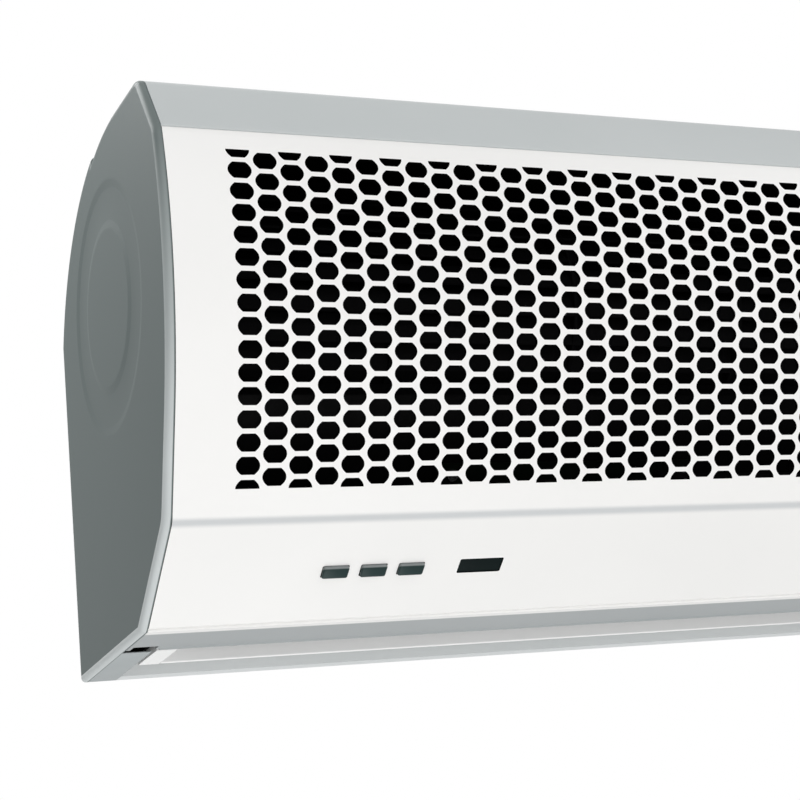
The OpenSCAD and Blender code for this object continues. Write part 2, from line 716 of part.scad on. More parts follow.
module button_switches() color(black) placed() for (i = [0:2])
    on_strip(-half + button_first + i * button_pitch, button_down) difference() {
        translate([0, 0, -board_depth]) block(6, 6, switch_h);
        translate([0, 0, -board_depth + 0.5]) cylinder(h = switch_h, r = stem_r + 0.2);
    }

module infrared_window() color(tinted) placed() on_strip(-half + window_x, button_down) {
    translate([0, 0, -panel_t - collar]) block(window_w - fit, window_h - fit, panel_t + collar - 0.3);
    translate([0, 0, -panel_t - collar]) block(window_w + 3 * collar, window_h + 3 * collar, collar - seat);
}

module infrared_receiver() color(black) placed() on_strip(-half + window_x, button_down)
    translate([0, 0, -board_depth]) {
        block(7, 6, switch_h);
        cylinder(h = switch_h + 1, r = 2.4);
    }

// ---- control board in the space behind the strip ----

wall_dir = (tongue - slot_edge) / norm(tongue - slot_edge);
wall_a = atan2(wall_dir[1], wall_dir[0]);
// Local z points out of the outlet's front wall into the casing, local y up it
module on_wall(x, s) translate([x, slot_edge[0] + s * wall_dir[0], slot_edge[1] + s * wall_dir[1]])
    rotate([wall_a, 0, 0]) translate([0, 0, sheet_t]) children();

block_x = 80 - half;
board_x = block_x + 120;
board_s = 56;
board_w = 130;
board_d = 50;
board_edge = 5;
post_h = 6;
post_r = 3;
post_screw = 1.2;
board_top = post_h + pcb_t;
capacitor_x = board_x + 130;
capacitor_w = 30;
capacitor_h = 20;
block_w = 44;
block_d = 18;
block_h = 15;
terminal_r = 2.6;
terminal_pitch = 10;
relay = [15, 19, 15];
relay_pitch = 17;
// The transformer's iron core, and the coil that stands out of it
core = [34, 30, 24];
coil = [26, 36, 18];
capacitor_l = 48;
clip_w = 10;
clip_wing = 7;
clip_t = 1.1;

module board_corners() for (sx = [-1, 1], sy = [-1, 1])
    on_wall(board_x + sx * (board_w / 2 - board_edge), board_s + sy * (board_d / 2 - board_edge)) children();
module control_board() color(board_green) placed() difference() {
    on_wall(board_x, board_s) translate([0, 0, post_h]) block(board_w, board_d, pcb_t);
    board_corners() cylinder(h = 2 * board_top, r = post_screw + clear);
}
module board_posts() color(white) placed() board_corners() difference() {
    cylinder(h = post_h, r = post_r);
    translate([0, 0, 1]) cylinder(h = post_h, r = post_screw);
}
module relays() color(black) placed() for (i = [0:2])
    on_wall(board_x + 12 + i * relay_pitch, board_s - 12) translate([0, 0, board_top])
        block(relay[0], relay[1], relay[2]);
module transformer() color(dark_grey) placed() on_wall(board_x - 15, board_s) translate([0, 0, board_top]) {
    block(core[0], core[1], core[2]);
    translate([0, 0, (core[2] - coil[2]) / 2]) block(coil[0], coil[1], coil[2]);
}
module run_capacitor() color(white) placed() on_wall(capacitor_x, board_s)
    translate([0, 0, 1]) block(capacitor_l, capacitor_w, capacitor_h);
module capacitor_clip() color(zinc) placed() on_wall(capacitor_x, board_s) difference() {
    block(clip_w, capacitor_w + 2 * clip_wing, capacitor_h + 2 * clip_t);
    translate([0, 0, -1]) block(clip_w + 2, capacitor_w + 0.2, capacitor_h + 1 + clip_t);
    for (s = [-1, 1]) translate([0, s * (capacitor_w / 2 + clip_wing - 2), clip_t])
        block(clip_w + 2, clip_wing + 1, capacitor_h + 2 * clip_t);
}
module terminal_block() color(white) placed() on_wall(block_x, board_s) difference() {
    block(block_w, block_d, block_h);
    for (i = [-1.5:1.5]) translate([i * terminal_pitch, 0, block_h - 6]) cylinder(h = 7, r = terminal_r);
}

// ---- leads: round tubes along hand-chosen points ----

lead_sides = 8;
function unit(v) = v / norm(v);
function lead_ring(p, i, r) = let (
        before = i > 0 ? unit(p[i] - p[i - 1]) : [0, 0, 0],
        after = i < len(p) - 1 ? unit(p[i + 1] - p[i]) : [0, 0, 0],
        along = unit(before + after),
        u = unit(cross(along, [0.4, 0.3, 1])),
        v = cross(along, u))
    [for (k = [0:lead_sides - 1]) p[i] + r * (cos(360 * k / lead_sides) * u + sin(360 * k / lead_sides) * v)];
module lead(points, r) {
    n = len(points);
    m = lead_sides;
    polyhedron([for (i = [0:n - 1]) each lead_ring(points, i, r)], concat(
        [[for (k = [0:m - 1]) k], [for (k = [m - 1:-1:0]) (n - 1) * m + k]],
        [for (i = [0:n - 2], k = [0:m - 1])
            each [[i * m + k, (i + 1) * m + k, (i + 1) * m + (k + 1) % m],
                [i * m + k, (i + 1) * m + (k + 1) % m, i * m + (k + 1) % m]]]));
}

cord_r = 3;
grommet_lip = 1.8;
module cable_grommet() color(black) placed() translate([grommet_x, -wall_gap, grommet_z])
    rotate([90, 0, 0]) difference() {
        union() {
            translate([0, 0, -grommet_lip]) cylinder(h = grommet_lip - 0.05, r = grommet_r + 1);
            translate([0, 0, -1]) cylinder(h = sheet_t + 2, r = grommet_r - 0.05);
            translate([0, 0, sheet_t + 0.05]) cylinder(h = grommet_lip, r = grommet_r + 1);
        }
        translate([0, 0, -2 * grommet_lip]) cylinder(h = 5 * grommet_lip, r = cord_r + 0.2);
    }

// A point of a lead in the plane x, and one a height h above the outlet wall
function at(x, p) = [x, p[0], p[1]];
function off_wall(s, h) = slot_edge + s * wall_dir + (h + sheet_t) * [-wall_dir[1], wall_dir[0]];
terminal = off_wall(board_s, block_h / 2);
terminal_x = block_x - block_w / 2;
module mains_lead() color(black) placed() let (y = -back_face - grommet_lip - fit) lead([
    [grommet_x, y, grommet_z], [grommet_x, y - 5, grommet_z], [grommet_x, y - 12, grommet_z - 5],
    [grommet_x, -60, 90], [grommet_x, lead_way[0] + 8, lead_way[1] + 2],
    [-frame_x, lead_way[0], lead_way[1]], [-inside_x + 7, lead_way[0] - 1, lead_way[1] - 1],
    [terminal_x - 14, terminal[0] - 4, terminal[1] + 2], at(terminal_x - 7, terminal),
    at(terminal_x, terminal)], cord_r);
module motor_lead() color(black) placed() let (
        x = -30, end = board_x + 45, s = board_s + board_d / 2 - 6) lead([
    at(x, polar(fan_c, motor_r + fit, 190)), at(x, polar(fan_c, motor_r + 7, 190)),
    at(x, tongue + [-20, 18]), at(x, tongue + [-22, -12]), at(x - 20, off_wall(s, board_top + 12)),
    at(end + 12, off_wall(s, board_top + 9)), at(end, off_wall(s, board_top + 5)),
    at(end, off_wall(s, board_top))], 2);
module button_lead() color(black) placed() let (
        x = board_x - 49,
        inward = [sin(strip_slope), cos(strip_slope)],
        from = crease + button_down * [cos(strip_slope), -sin(strip_slope)] + (board_depth + pcb_t) * inward,
        s = board_s - board_d / 2 + 6)
    lead([at(x, from), at(x, from + 4 * inward), at(x, off_wall(s, board_top + 4)),
        at(x, off_wall(s, board_top))], 1);

// ---- screws ----

// A head below the origin and a thread above it
module screw(r, len, head_r, head_h) {
    cylinder(h = len, r = r);
    translate([0, 0, -head_h]) cylinder(h = head_h, r = head_r);
}
module end_cap_screws() color(steel) placed() both_sides() for (p = cap_boss)
    translate([inside_x, p[0], p[1]]) rotate([0, 90, 0]) screw(small_screw, 9, 3, 1.8);
module cover_screws() color(steel) placed() both_sides() for (y = cover_screw_y)
    translate([end_screw_x, y, casing_h]) rotate([180, 0, 0]) {
        cylinder(h = 7, r = big_screw);
        cylinder(h = sheet_t, r1 = countersunk, r2 = big_screw);
    }
module shell_screws() color(steel) placed() both_sides() for (z = shell_screw_z)
    translate([end_screw_x, -wall_gap, z]) rotate([90, 0, 0]) screw(big_screw, 4.5, countersunk, 2);
module panel_screws() color(steel) placed() for (s = [-1, 1])
    translate([s * hem_screw_x, hem_screw_y, 0]) rotate([-bottom_slope, 0, 0])
        translate([0, 0, bottom_at(hem_screw_y) * cos(bottom_slope)]) screw(small_screw, 6, 3, 1.5);
module board_screws() color(steel) placed() {
    for (x = boss_x, s = [-1, 1]) on_strip(-half + x, button_down + s * boss_down)
        translate([0, 0, -board_depth - pcb_t]) screw(board_screw, pilot, 1.9, 1.2);
    board_corners() translate([0, 0, board_top]) rotate([180, 0, 0]) screw(post_screw, 5, 2.6, 1.6);
}

module left_end_cap() end_cap("left");
module right_end_cap() end_cap("right");
module left_end_frame() end_frame("left");
module right_end_frame() end_frame("right");
module left_motor_frame() motor_frame("left");
module right_motor_frame() motor_frame("right");
module left_impeller() impeller("left");
module right_impeller() impeller("right");
module left_bearing() bearing("left");
module right_bearing() bearing("right");
module left_bearing_cushion() bearing_cushion("left");
module right_bearing_cushion() bearing_cushion("right");
module left_vane_bracket() vane_bracket("left");
module right_vane_bracket() vane_bracket("right");

front_panel();
top_cover();
rear_shell();
wall_bracket();
outlet_front_wall();
scroll_wall();
left_end_cap();
right_end_cap();
left_end_frame();
right_end_frame();
left_motor_frame();
right_motor_frame();
left_impeller();
right_impeller();
left_bearing();
right_bearing();
left_bearing_cushion();
right_bearing_cushion();
left_vane_bracket();
right_vane_bracket();
motor_housing();
motor_stator();
motor_rotor();
motor_shaft();
motor_bushes();
motor_cushions();
hub_screws();
deflector_vane();
vane_pins();
high_button();
low_button();
off_button();
button_board();
button_switches();
infrared_window();
infrared_receiver();
control_board();
board_posts();
relays();
transformer();
run_capacitor();
capacitor_clip();
terminal_block();
cable_grommet();
mains_lead();
motor_lead();
button_lead();
end_cap_screws();
cover_screws();
shell_screws();
panel_screws();
board_screws();
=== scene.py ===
from math import asin, atan2, cos, hypot, pi, radians, sin, sqrt, tan

import bmesh
import bpy
from mathutils import Matrix, Vector


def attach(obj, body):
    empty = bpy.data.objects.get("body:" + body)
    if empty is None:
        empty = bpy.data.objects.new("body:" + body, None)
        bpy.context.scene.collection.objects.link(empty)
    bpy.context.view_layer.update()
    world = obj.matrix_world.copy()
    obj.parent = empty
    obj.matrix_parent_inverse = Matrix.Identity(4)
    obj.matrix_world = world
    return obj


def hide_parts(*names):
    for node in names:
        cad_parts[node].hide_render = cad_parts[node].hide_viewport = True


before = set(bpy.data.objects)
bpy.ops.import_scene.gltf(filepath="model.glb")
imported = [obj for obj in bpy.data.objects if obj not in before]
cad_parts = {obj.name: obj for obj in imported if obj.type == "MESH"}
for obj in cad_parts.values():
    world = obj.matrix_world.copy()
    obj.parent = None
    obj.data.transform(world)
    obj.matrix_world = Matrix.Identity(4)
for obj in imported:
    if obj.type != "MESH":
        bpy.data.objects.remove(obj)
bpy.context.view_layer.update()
bpy.context.scene.view_settings.view_transform = "Standard"

# ---- the camera ----
# It stands to the left of the casing and below its middle, and looks up at the
# front, the left end and the underside.
camera_data = bpy.data.cameras.new("camera")
camera_data.lens = 78.69
camera_data.sensor_width = 36
camera = bpy.data.objects.new("camera", camera_data)
bpy.context.scene.collection.objects.link(camera)
to_right = Vector((0.9142, -0.3945, -0.0931)).normalized()
ahead = Vector((0.4053, 0.8897, 0.2100)).normalized()
upward = to_right.cross(ahead)
camera.matrix_world = Matrix.Translation((-0.642, -0.7905, -0.1391)) @ Matrix(
    (to_right, upward, -ahead)).transposed().to_4x4()
bpy.context.scene.camera = camera

# ---- the studio ----
# A pale floor well below the casing and a white backdrop all round. Large soft lamps
# stand in front, to the right and below, and a small one close above the left end.
world = bpy.data.worlds.new("studio")
bpy.context.scene.world = world
world.use_nodes = True
tree = world.node_tree
tree.nodes.clear()
rays = tree.nodes.new("ShaderNodeLightPath")
backdrop = tree.nodes.new("ShaderNodeBackground")
backdrop.inputs["Color"].default_value = (1, 1, 1, 1)
air = tree.nodes.new("ShaderNodeBackground")
air.inputs["Color"].default_value = (0.97, 0.985, 1, 1)
air.inputs["Strength"].default_value = 0.32
seen = tree.nodes.new("ShaderNodeMath")
seen.operation = "MAXIMUM"
seen_or_mirrored = tree.nodes.new("ShaderNodeMath")
seen_or_mirrored.operation = "MAXIMUM"
either = tree.nodes.new("ShaderNodeMixShader")
out = tree.nodes.new("ShaderNodeOutputWorld")


def link(tree, *pairs):
    """Joins the nodes of a world or a material: each pair is an output and an input."""
    for a, b in pairs:
        tree.links.new(a, b)


link(tree,
     (rays.outputs["Is Camera Ray"], seen.inputs[0]),
     (rays.outputs["Is Transmission Ray"], seen.inputs[1]),
     (seen.outputs[0], seen_or_mirrored.inputs[0]),
     (rays.outputs["Is Glossy Ray"], seen_or_mirrored.inputs[1]),
     (seen_or_mirrored.outputs[0], either.inputs["Fac"]),
     (air.outputs[0], either.inputs[1]),
     (backdrop.outputs[0], either.inputs[2]),
     (either.outputs[0], out.inputs["Surface"]))


def lamp(name, place, aim, size, power):
    """A square soft lamp that points at a spot."""
    data = bpy.data.lights.new(name, "AREA")
    data.size = size
    data.energy = power
    light = bpy.data.objects.new(name, data)
    bpy.context.scene.collection.objects.link(light)
    towards = (Vector(aim) - Vector(place)).to_track_quat("-Z", "Y").to_matrix().to_4x4()
    light.matrix_world = Matrix.Translation(place) @ towards


mid_casing = (0, -0.1, 0)
lamp("front_lamp", (-0.5, -2.4, 1.4), mid_casing, 1.8, 23)
lamp("right_lamp", (2.2, -1.6, 1.0), mid_casing, 1.5, 10.5)
lamp("low_lamp", (-0.3, -1.5, -0.7), mid_casing, 1.4, 9.9)
lamp("under_lamp", (-0.42, 0.1, -1.15), (-0.1, -0.1, 0), 1.2, 5.4)
lamp("left_lamp", (-0.75, 0.15, 0.5), (-0.45, -0.1, 0.1), 0.4, 2.8)


def deselect():
    bpy.ops.object.select_all(action="DESELECT")


deselect()
bpy.ops.mesh.primitive_plane_add(size=9, location=(0, 0, -1.3))
floor = bpy.context.object
floor.name = "floor"
floor_paint = bpy.data.materials.new("floor_paint")
floor_paint.use_nodes = True
floor_shader = floor_paint.node_tree.nodes["Principled BSDF"]
floor_shader.inputs["Base Color"].default_value = (0.94, 0.94, 0.935, 1)
floor_shader.inputs["Roughness"].default_value = 0.9
floor.data.materials.append(floor_paint)

# ---- front panel ----
# One moulded white panel: a bow with a field of six-sided holes with rounded ends,
# a soft crease, the plain control strip under it and a hem. Its back and its hole
# walls are painted black as painted shade.
mm = 0.001
hair = 0.02  # places closer than this, in millimetres, are taken as one

# The section's lines, in millimetres behind the wall's face and above the bottom
origin_z = 84
seam_z = 202
crease_z = 48
lip_z = 11
lean = radians(18.5)
front_r = 228
front_c = (55, 160)
seam_up = seam_z - front_c[1]
bow_end = (front_c[0] - front_r * cos(lean), front_c[1] - front_r * sin(lean))
bow_length = (lean + asin(seam_up / front_r)) * front_r
seam = (front_c[0] - sqrt(front_r ** 2 - seam_up ** 2), seam_z)
crease = (bow_end[0] + (bow_end[1] - crease_z) * tan(lean), crease_z)
strip_slope = radians(40)
lip = (crease[0] + (crease_z - lip_z) / tan(strip_slope), lip_z)
bottom_slope = atan2(lip[1], -lip[0])

# The field of holes, in which every second column starts with half a hole
rows = 15
columns = 77
column_pitch = 11.05
top_step = 2.9
field_top = bow_length - 3 * top_step
field_foot = 12.6 - hypot(crease[0] - bow_end[0], crease[1] - bow_end[1])
row_pitch = (field_top - field_foot) / rows
cell_corner = 6.467

# A hole is a circle with its ends made flat. Its points between two heights are
# then drawn in to a part of their width.
hole_r = 5.02
hole_flat = 3.56
flat_half = 2.75
drawn_in = ((2.5, 3.2, 0.872), (1.5, 2.5, 0.947), (0.5, 1.5, 0.99))

# Ends, thicknesses and folds
half = 450
sheet_end = 449.8
panel_t = 2
sheet_t = 1.2
hem = 16
top_flange = 12


def spot(y, z):
    """A place in the section, y behind the wall's face and z above the bottom, in metres."""
    return Vector((0, y * mm, (z - origin_z) * mm))


def front_at(s):
    """The point of the front face a distance s up it from the end of the bow."""
    if s < 0:
        return bow_end[0] - s * sin(lean), bow_end[1] + s * cos(lean)
    a = pi + lean - s / front_r
    return front_c[0] + front_r * cos(a), front_c[1] + front_r * sin(a)


def rounded(before, corner, after, r, steps):
    """Points that round a corner with a radius."""
    b, c, a = Vector(before), Vector(corner), Vector(after)
    back, on = (b - c).normalized(), (a - c).normalized()
    reach = r / tan(back.angle(on) / 2)
    middle = c + (back + on).normalized() * hypot(r, reach)
    first, last = c + back * reach - middle, c + on * reach - middle
    sweep = first.angle_signed(last)
    return [tuple(middle + Matrix.Rotation(-sweep * i / steps, 2) @ first)
            for i in range(steps + 1)]


def select(first, *others):
    """Selects pieces, with the first of them active."""
    deselect()
    for piece in (first, *others):
        piece.select_set(True)
    bpy.context.view_layer.objects.active = first


def join(first, *others):
    """Makes one piece of several, with the first one's name."""
    select(first, *others)
    bpy.ops.object.join()
    return first


def use(piece, kind, **settings):
    """Gives a piece a modifier and applies it."""
    select(piece)
    modifier = piece.modifiers.new(kind, kind)
    for key, value in settings.items():
        setattr(modifier, key, value)
    bpy.ops.object.modifier_apply(modifier=modifier.name)


def repeat(piece, count, step, **settings):
    """Copies a piece in a row, a step in metres apart."""
    use(piece, "ARRAY", count=count, use_relative_offset=False, use_constant_offset=True,
        constant_offset_displace=step, **settings)


def pick(test, kind="EDGE"):
    """Selects the vertices at which a test holds, and the edges between them."""
    bpy.ops.mesh.select_mode(type="VERT")
    bpy.ops.mesh.select_all(action="DESELECT")
    mesh = bmesh.from_edit_mesh(bpy.context.object.data)
    for v in mesh.verts:
        v.select = test(v.co)
    mesh.select_flush_mode()
    bpy.ops.mesh.select_mode(type=kind)


def stretch(value, centre=(0, 0, 0)):
    bpy.ops.transform.resize(value=value, center_override=centre)


def turn(angle, centre):
    bpy.ops.transform.rotate(value=-angle, orient_axis="X", center_override=centre)


def extrude(move):
    bpy.ops.mesh.extrude_region_move(TRANSFORM_OT_translate={"value": move})


def draw_out(path):
    """Extrudes what is selected through the points of a path."""
    for a, b in zip(path, path[1:]):
        extrude(spot(*b) - spot(*a))


def face_one_way():
    """Makes all faces of a mesh point one way: outwards, where it is closed."""
    bpy.ops.mesh.select_all(action="SELECT")
    bpy.ops.mesh.normals_make_consistent(inside=False)


def smooth(piece, angle):
    """Smooth shading up to an angle, on a closed mesh that faces outwards."""
    select(piece)
    solid = bmesh.new()
    solid.from_mesh(piece.data)
    inside_out = solid.calc_volume(signed=True) < 0
    solid.free()
    if inside_out:
        bpy.ops.object.mode_set(mode="EDIT")
        bpy.ops.mesh.select_all(action="SELECT")
        bpy.ops.mesh.flip_normals()
        bpy.ops.object.mode_set(mode="OBJECT")
    bpy.ops.object.shade_smooth_by_angle(angle=radians(angle))


fold_lines = [field_foot + k * row_pitch / 2 for k in range(2 * rows + 1)]
folds = [front_at(s) for s in fold_lines]
leans = [atan2(a[0] - b[0], b[1] - a[1]) for a, b in zip(folds, folds[1:])]
fold_in = sheet_t / sin(strip_slope - bottom_slope)
panel_lip = (lip[0] - fold_in * cos(strip_slope), lip[1] + fold_in * sin(strip_slope))
panel_hem = (panel_lip[0] + hem * cos(bottom_slope), panel_lip[1] - hem * sin(bottom_slope))
flange_end = (seam[0] + top_flange, seam[1])
down_path = ([folds[0]] + rounded(folds[0], crease, lip, 7.5, 6)
             + rounded(crease, panel_lip, panel_hem, 0.8, 3) + [panel_hem])
up_path = ([folds[-1]] + [front_at(field_top + k * top_step) for k in (1, 2)]
           + rounded(front_at(field_top + 2 * top_step), seam, flange_end, 0.8, 3) + [flange_end])


def hole_column(name, count, first):
    """A flat column of holes, each in its six-sided cell, from the lowest cell's middle."""
    deselect()
    bpy.ops.mesh.primitive_circle_add(vertices=32, radius=hole_r * mm, rotation=(pi / 2, 0, 0))
    column = bpy.context.object
    column.name = name
    bpy.ops.object.transform_apply()
    bpy.ops.object.mode_set(mode="EDIT")
    shoulder = hole_r * cos(pi / 4)
    pick(lambda p: abs(p.x) < (shoulder - hair) * mm)
    bpy.ops.mesh.dissolve_verts()
    pick(lambda p: abs(p.z) > (shoulder - hair) * mm)
    stretch((flat_half / shoulder, 1, hole_flat / shoulder))
    for low, high, kept in drawn_in:
        pick(lambda p: low * mm < abs(p.z) < high * mm, "VERT")
        stretch((kept, 1, 1))
    bpy.ops.mesh.primitive_circle_add(vertices=6, radius=cell_corner * mm,
                                      rotation=(pi / 2, pi / 6, 0))
    side, rise = cell_corner / 2, cell_corner * sin(pi / 3)
    pick(lambda p: abs(p.z) > (rise - hair) * mm)
    stretch(((column_pitch - cell_corner) / side, 1, row_pitch / 2 / rise))
    bpy.ops.mesh.select_all(action="SELECT")
    bpy.ops.mesh.bridge_edge_loops()
    bpy.ops.mesh.select_all(action="SELECT")
    bpy.ops.transform.translate(value=(0, 0, first * mm))
    bpy.ops.object.mode_set(mode="OBJECT")
    repeat(column, count, (0, 0, row_pitch * mm), use_merge_vertices=True,
           merge_threshold=hair * mm)
    return column


def trim_half_holes(column):
    """Cuts the end cells at their middles and closes the half holes with an edge."""
    bpy.ops.object.mode_set(mode="EDIT")
    for end, keeps_above in ((field_foot, True), (field_top, False)):
        bpy.ops.mesh.select_all(action="SELECT")
        bpy.ops.mesh.bisect(plane_co=(0, 0, end * mm), plane_no=(0, 0, 1), threshold=0.001 * mm,
                            clear_inner=keeps_above, clear_outer=not keeps_above)
        pick(lambda p: abs(p.z - end * mm) < hair * mm
             and abs(abs(p.x) - hole_r * mm) < hair * mm, "VERT")
        bpy.ops.mesh.edge_face_add()
    bpy.ops.object.mode_set(mode="OBJECT")


def bow(column):
    """Folds a flat column a little at each half row, leans it and draws out its ends."""
    bpy.ops.object.mode_set(mode="EDIT")
    for k in range(len(leans) - 1, 0, -1):
        pick(lambda p: p.z > (fold_lines[k] + hair) * mm)
        turn(leans[k] - leans[k - 1], (0, 0, fold_lines[k] * mm))
    foot = Vector((0, 0, fold_lines[0] * mm))
    bpy.ops.mesh.select_all(action="SELECT")
    turn(leans[0], foot)
    bpy.ops.transform.translate(value=spot(*folds[0]) - foot)
    foot_z, top_z = spot(*folds[0]).z, spot(*folds[-1]).z
    pick(lambda p: p.z < foot_z + hair * mm)
    draw_out(down_path)
    pick(lambda p: p.z > top_z - hair * mm)
    draw_out(up_path)
    bpy.ops.object.mode_set(mode="OBJECT")


next_but_one = (2 * column_pitch * mm, 0, 0)
long_column = hole_column("front_panel_skin", rows, field_foot + row_pitch / 2)
bow(long_column)
repeat(long_column, columns // 2, next_but_one)
short_column = hole_column("short_column", rows + 1, field_foot)
trim_half_holes(short_column)
bow(short_column)
repeat(short_column, columns // 2 + 1, next_but_one)
last_x = (columns // 2) * column_pitch * mm
long_column.location.x = column_pitch * mm - last_x
short_column.location.x = -last_x
select(long_column, short_column)
bpy.ops.object.transform_apply(location=True, rotation=False, scale=False)
front_panel = join(long_column, short_column)
bpy.ops.object.mode_set(mode="EDIT")
bpy.ops.mesh.select_all(action="SELECT")
bpy.ops.mesh.remove_doubles(threshold=0.03 * mm)
edge_places = [last_x + cell_corner * mm, last_x + (column_pitch - cell_corner) * mm]
for side in (-1, 1):
    pick(lambda p: any(abs(side * p.x - x) < hair * mm for x in edge_places))
    extrude((side * 20 * mm, 0, 0))
    stretch((0, 1, 1), (side * sheet_end * mm, 0, 0))
face_one_way()
bpy.ops.object.mode_set(mode="OBJECT")


def tone(r, g, b):
    """A colour as it looks in a photograph, 0 to 255, made linear for the shader."""
    return tuple(((c / 255 + 0.055) / 1.055) ** 2.4 if c > 10 else c / 3295
                 for c in (r, g, b)) + (1,)


def finish(name, light, dark, rough, patch, grain, lift, metallic=0.0, coat=0.0, shine=0.5):
    """Two close tones in soft patches, uneven gloss and a fine grain that catches light."""
    material = bpy.data.materials.new(name)
    material.use_nodes = True
    tree = material.node_tree
    shader = tree.nodes["Principled BSDF"]
    shader.inputs["Metallic"].default_value = metallic
    shader.inputs["Coat Weight"].default_value = coat
    shader.inputs["Specular IOR Level"].default_value = shine
    shader.inputs["Coat Roughness"].default_value = 0.2
    place = tree.nodes.new("ShaderNodeTexCoord")
    patches = tree.nodes.new("ShaderNodeTexNoise")
    patches.inputs["Scale"].default_value = patch
    patches.inputs["Detail"].default_value = 4
    tones = tree.nodes.new("ShaderNodeValToRGB")
    tones.color_ramp.elements[0].position = 0.3
    tones.color_ramp.elements[0].color = dark
    tones.color_ramp.elements[1].position = 0.7
    tones.color_ramp.elements[1].color = light
    gloss = tree.nodes.new("ShaderNodeMapRange")
    gloss.inputs["To Min"].default_value = rough - 0.05
    gloss.inputs["To Max"].default_value = rough + 0.05
    grains = tree.nodes.new("ShaderNodeTexNoise")
    grains.inputs["Scale"].default_value = grain
    grains.inputs["Detail"].default_value = 2
    bump = tree.nodes.new("ShaderNodeBump")
    bump.inputs["Strength"].default_value = lift
    bump.inputs["Distance"].default_value = 0.1 * mm
    link(tree,
         (place.outputs["Object"], patches.inputs["Vector"]),
         (place.outputs["Object"], grains.inputs["Vector"]),
         (patches.outputs["Fac"], tones.inputs["Fac"]),
         (patches.outputs["Fac"], gloss.inputs["Value"]),
         (grains.outputs["Fac"], bump.inputs["Height"]),
         (tones.outputs["Color"], shader.inputs["Base Color"]),
         (gloss.outputs["Result"], shader.inputs["Roughness"]),
         (bump.outputs["Normal"], shader.inputs["Normal"]))
    return material


def tint(material, share, colour):
    """Mixes another colour into a finish, by a share from 0 to 1."""
    tree = material.node_tree
    base = tree.nodes["Principled BSDF"].inputs["Base Color"]
    mix = tree.nodes.new("ShaderNodeMix")
    mix.data_type = "RGBA"
    mix.inputs[7].default_value = colour
    link(tree, (share, mix.inputs[0]), (base.links[0].from_socket, mix.inputs[6]),
         (mix.outputs[2], base))


panel_white = finish("panel_white", tone(243, 242, 240), tone(240, 239, 237), 0.38, 9, 900, 0.12,
                     coat=0.1)
# Painted shade: a soft grey line along the crease, where shade falls in the bend
tree = panel_white.node_tree
place = tree.nodes.new("ShaderNodeTexCoord")
height = tree.nodes.new("ShaderNodeSeparateXYZ")
above_crease = tree.nodes.new("ShaderNodeMath")
above_crease.inputs[1].default_value = (origin_z - crease_z) * mm
from_crease = tree.nodes.new("ShaderNodeMath")
from_crease.operation = "ABSOLUTE"
crease_shade = tree.nodes.new("ShaderNodeMapRange")
crease_shade.interpolation_type = "SMOOTHSTEP"
crease_shade.inputs["From Min"].default_value = 2.3 * mm
crease_shade.inputs["From Max"].default_value = 0.3 * mm
link(tree,
     (place.outputs["Object"], height.inputs[0]),
     (height.outputs["Z"], above_crease.inputs[0]),
     (above_crease.outputs[0], from_crease.inputs[0]),
     (from_crease.outputs[0], crease_shade.inputs["Value"]))
tint(panel_white, crease_shade.outputs["Result"], tone(204, 206, 207))

# Painted shade: matte black on the panel's back, its hole walls and the inner side of the sheets,
# so the insides read dark
painted_shade_black = finish("painted_shade_black", tone(6, 6, 6), tone(2, 2, 2), 0.9, 30, 600, 0.3, shine=0.03)
front_panel.data.materials.append(panel_white)
front_panel.data.materials.append(painted_shade_black)
use(front_panel, "SOLIDIFY", thickness=panel_t * mm, offset=-1, use_even_offset=True,
    material_offset=1, material_offset_rim=1)


def on_strip(x, down, out=0.0):
    """A place on the control strip: its x runs right, y up the strip, z out of it."""
    y, z = crease[0] + down * cos(strip_slope), crease[1] - down * sin(strip_slope)
    place = Matrix.Translation(spot(y, z) + Vector(((x - half) * mm, 0, 0)))
    return place @ Matrix.Rotation(pi - strip_slope, 4, "X") @ Matrix.Translation((0, 0, out * mm))


def block(name, w, h, deep, place, radius):
    """A block with rounded upright edges, w by h, centred on a place."""
    deselect()
    bpy.ops.mesh.primitive_cube_add(size=1)
    piece = bpy.context.object
    piece.name = name
    piece.matrix_world = place @ Matrix.Diagonal((w * mm, h * mm, deep * mm, 1))
    bpy.ops.object.transform_apply()
    bpy.ops.object.mode_set(mode="EDIT")
    bpy.ops.mesh.select_mode(type="EDGE")
    mesh = bmesh.from_edit_mesh(piece.data)
    upright = (place.to_3x3() @ Vector((0, 0, 1))).normalized()
    for edge in mesh.edges:
        along = (edge.verts[0].co - edge.verts[1].co).normalized()
        edge.select = abs(along.dot(upright)) > 0.99
    bmesh.update_edit_mesh(piece.data)
    bpy.ops.mesh.bevel(offset=radius * mm, segments=3, affect="EDGES")
    bpy.ops.object.mode_set(mode="OBJECT")
    return piece


def cut_out(piece, *tools):
    """Cuts tools out of a piece."""
    tool = join(*tools)
    use(piece, "BOOLEAN", object=tool, operation="DIFFERENCE", solver="EXACT")
    bpy.data.objects.remove(tool)


# Openings in the strip for the buttons and the window: the place of each from the
# left end of the casing, its width and its height. All are as far below the crease.
button_x = [74.2, 91.2, 108.2]
window_x = 140.7
button_down = 28.7
strip_openings = [(x, 11.9, 6.4) for x in button_x] + [(window_x, 20.5, 7.8)]
through_strip = 12
cutters = [block("cutter", w, h, through_strip, on_strip(x, button_down), 0.7)
           for x, w, h in strip_openings]
# The openings' walls are painted black as painted shade.
for cutter in cutters:
    cutter.data.materials.append(panel_white)
    cutter.data.materials.append(painted_shade_black)
    for face in cutter.data.polygons:
        face.material_index = 1
cut_out(front_panel, *cutters)
smooth(front_panel, 40)
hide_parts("front_panel")
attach(front_panel, "casing")

